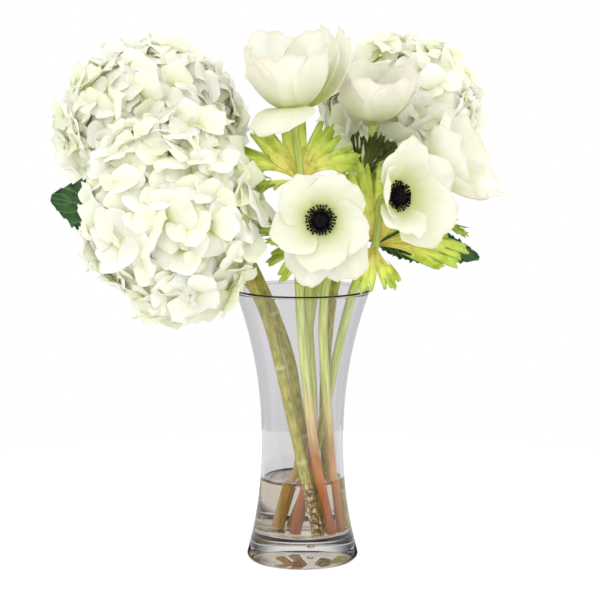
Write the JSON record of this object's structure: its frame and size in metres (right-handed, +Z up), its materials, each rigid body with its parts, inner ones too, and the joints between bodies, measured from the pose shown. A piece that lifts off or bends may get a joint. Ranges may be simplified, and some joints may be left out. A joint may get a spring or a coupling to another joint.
{
  "type": "flower arrangement in glass vase",
  "caption": "Centrepiece of white hydrangea heads and white dark-centred anemones with lobed green leaves, standing in water in a waisted clear glass vase.",
  "frame": {"origin": "centre of the vase's flat underside", "axes": "+Z up, -Y towards the viewer, +X to the viewer's right"},
  "size_m": [0.4213, 0.3005, 0.4904],
  "materials": {
    "glass": "clear, gloss",
    "water": "clear liquid",
    "hydrangea": "soft matte petal",
    "anemone": "satin petal",
    "centre": "matte",
    "woody": "smooth bark",
    "tender": "satin leaf and stem",
    "leaf": "matte leaf"
  },
  "bodies": {
    "root": {"vase": "glass", "water": "water", "hydrangea_front_head": "hydrangea", "hydrangea_left_head": "hydrangea", "hydrangea_right_head": "hydrangea", "hydrangea_front_stem": "woody", "hydrangea_left_stem": "woody", "hydrangea_right_stem": "woody", "hydrangea_leaf_left": "leaf", "hydrangea_leaf_right": "leaf", "anemone_front_petals": "anemone", "anemone_right_petals": "anemone", "anemone_top_petals": "anemone", "anemone_crown_petals": "anemone", "anemone_side_petals": "anemone", "anemone_front_centre": "centre", "anemone_right_centre": "centre", "anemone_top_centre": "centre", "anemone_crown_centre": "centre", "anemone_side_centre": "centre", "anemone_front_stem": "tender", "anemone_right_stem": "tender", "anemone_top_stem": "tender", "anemone_crown_stem": "tender", "anemone_side_stem": "tender"}
  },
  "joints": []
}
